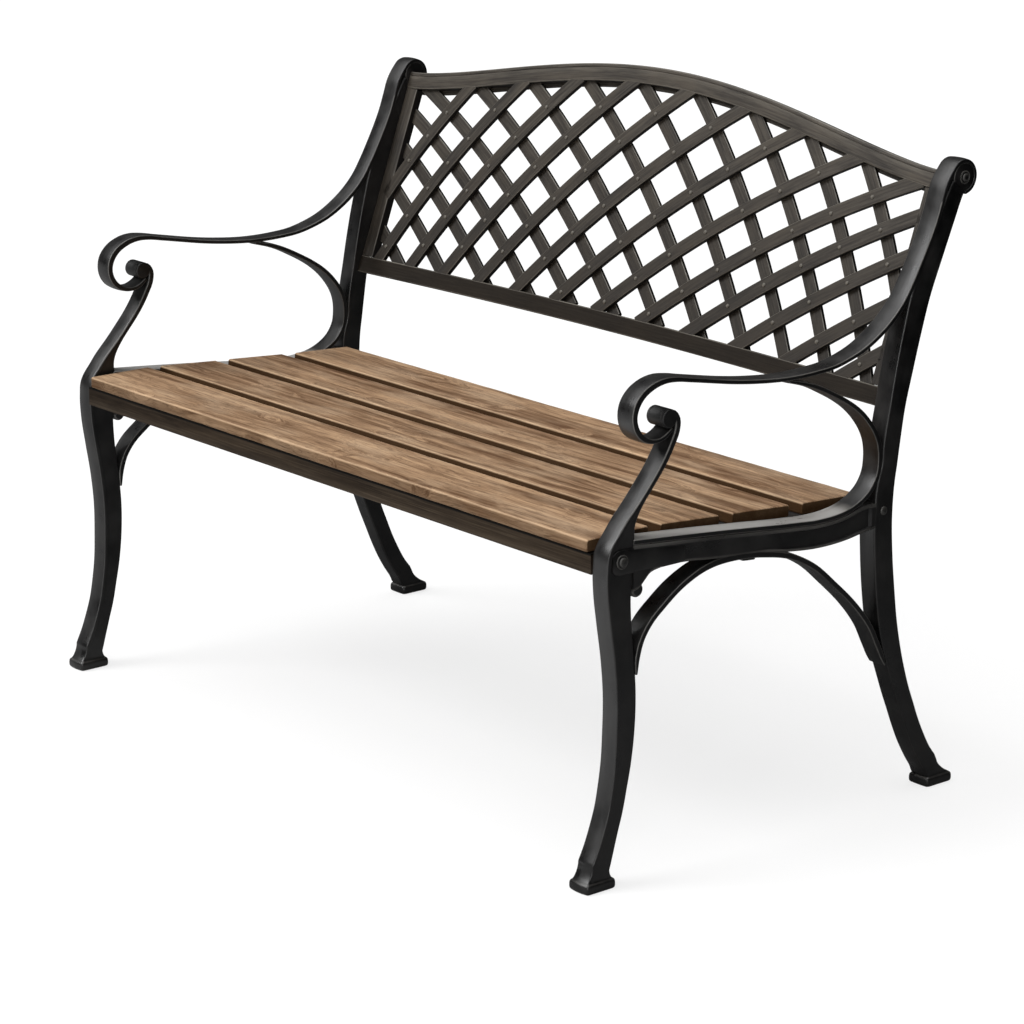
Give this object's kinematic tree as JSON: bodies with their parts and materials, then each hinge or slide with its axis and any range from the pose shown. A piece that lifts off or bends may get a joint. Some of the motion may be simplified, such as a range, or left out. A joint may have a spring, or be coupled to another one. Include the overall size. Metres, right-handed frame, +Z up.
{
  "type": "garden bench",
  "caption": "Garden bench with scrolled metal side frames, a slatted wooden seat and a reclined back of crossed curved metal straps under an arched top rail.",
  "frame": {"origin": "On the floor, at the middle of the bench's box seen from above.", "axes": "X runs along the bench, towards the right of someone who looks at the bench with +Y ahead. -Y is the side that a sitter faces. Z is up."},
  "size_m": [1.2114, 0.6844, 0.9178],
  "materials": {
    "black_frame": "satin black paint over cast metal, worn soft",
    "bronze_back": "brownish black paint, lightly brushed and worn",
    "seat_wood": "weathered brown wood with fine dark grain, matt",
    "front_steel": "brown painted steel bar with fine long scratches",
    "bolt_steel": "black painted bolt heads"
  },
  "bodies": {
    "root": {"arch_brace_left": "black_frame", "arch_brace_right": "black_frame", "arch_clip_left": "black_frame", "arch_clip_right": "black_frame", "armrest_left": "black_frame", "armrest_right": "black_frame", "back_leg_left": "black_frame", "back_leg_right": "black_frame", "front_leg_left": "black_frame", "front_leg_right": "black_frame", "front_stretcher": "front_steel", "knob_bolt_left": "bolt_steel", "knob_bolt_right": "bolt_steel", "lattice_falling_01": "bronze_back", "lattice_falling_02": "bronze_back", "lattice_falling_03": "bronze_back", "lattice_falling_04": "bronze_back", "lattice_falling_05": "bronze_back", "lattice_falling_06": "bronze_back", "lattice_falling_07": "bronze_back", "lattice_falling_08": "bronze_back", "lattice_falling_09": "bronze_back", "lattice_falling_10": "bronze_back", "lattice_falling_11": "bronze_back", "lattice_falling_12": "bronze_back", "lattice_falling_13": "bronze_back", "lattice_rising_01": "bronze_back", "lattice_rising_02": "bronze_back", "lattice_rising_03": "bronze_back", "lattice_rising_04": "bronze_back", "lattice_rising_05": "bronze_back", "lattice_rising_06": "bronze_back", "lattice_rising_07": "bronze_back", "lattice_rising_08": "bronze_back", "lattice_rising_09": "bronze_back", "lattice_rising_10": "bronze_back", "lattice_rising_11": "bronze_back", "lattice_rising_12": "bronze_back", "lattice_rising_13": "bronze_back", "loop_brace_left": "black_frame", "loop_brace_right": "black_frame", "lower_rail": "bronze_back", "rail_front_bolt_left": "bolt_steel", "rail_front_bolt_right": "bolt_steel", "rail_rear_bolt_left": "bolt_steel", "rail_rear_bolt_right": "bolt_steel", "seat_ledge_left": "black_frame", "seat_ledge_right": "black_frame", "seat_rail_left": "black_frame", "seat_rail_right": "black_frame", "side_bar_left": "bronze_back", "side_bar_right": "bronze_back", "slat_1": "seat_wood", "slat_2": "seat_wood", "slat_3": "seat_wood", "slat_4": "seat_wood", "top_inner_strip": "bronze_back", "top_rail": "bronze_back"}
  },
  "joints": []
}
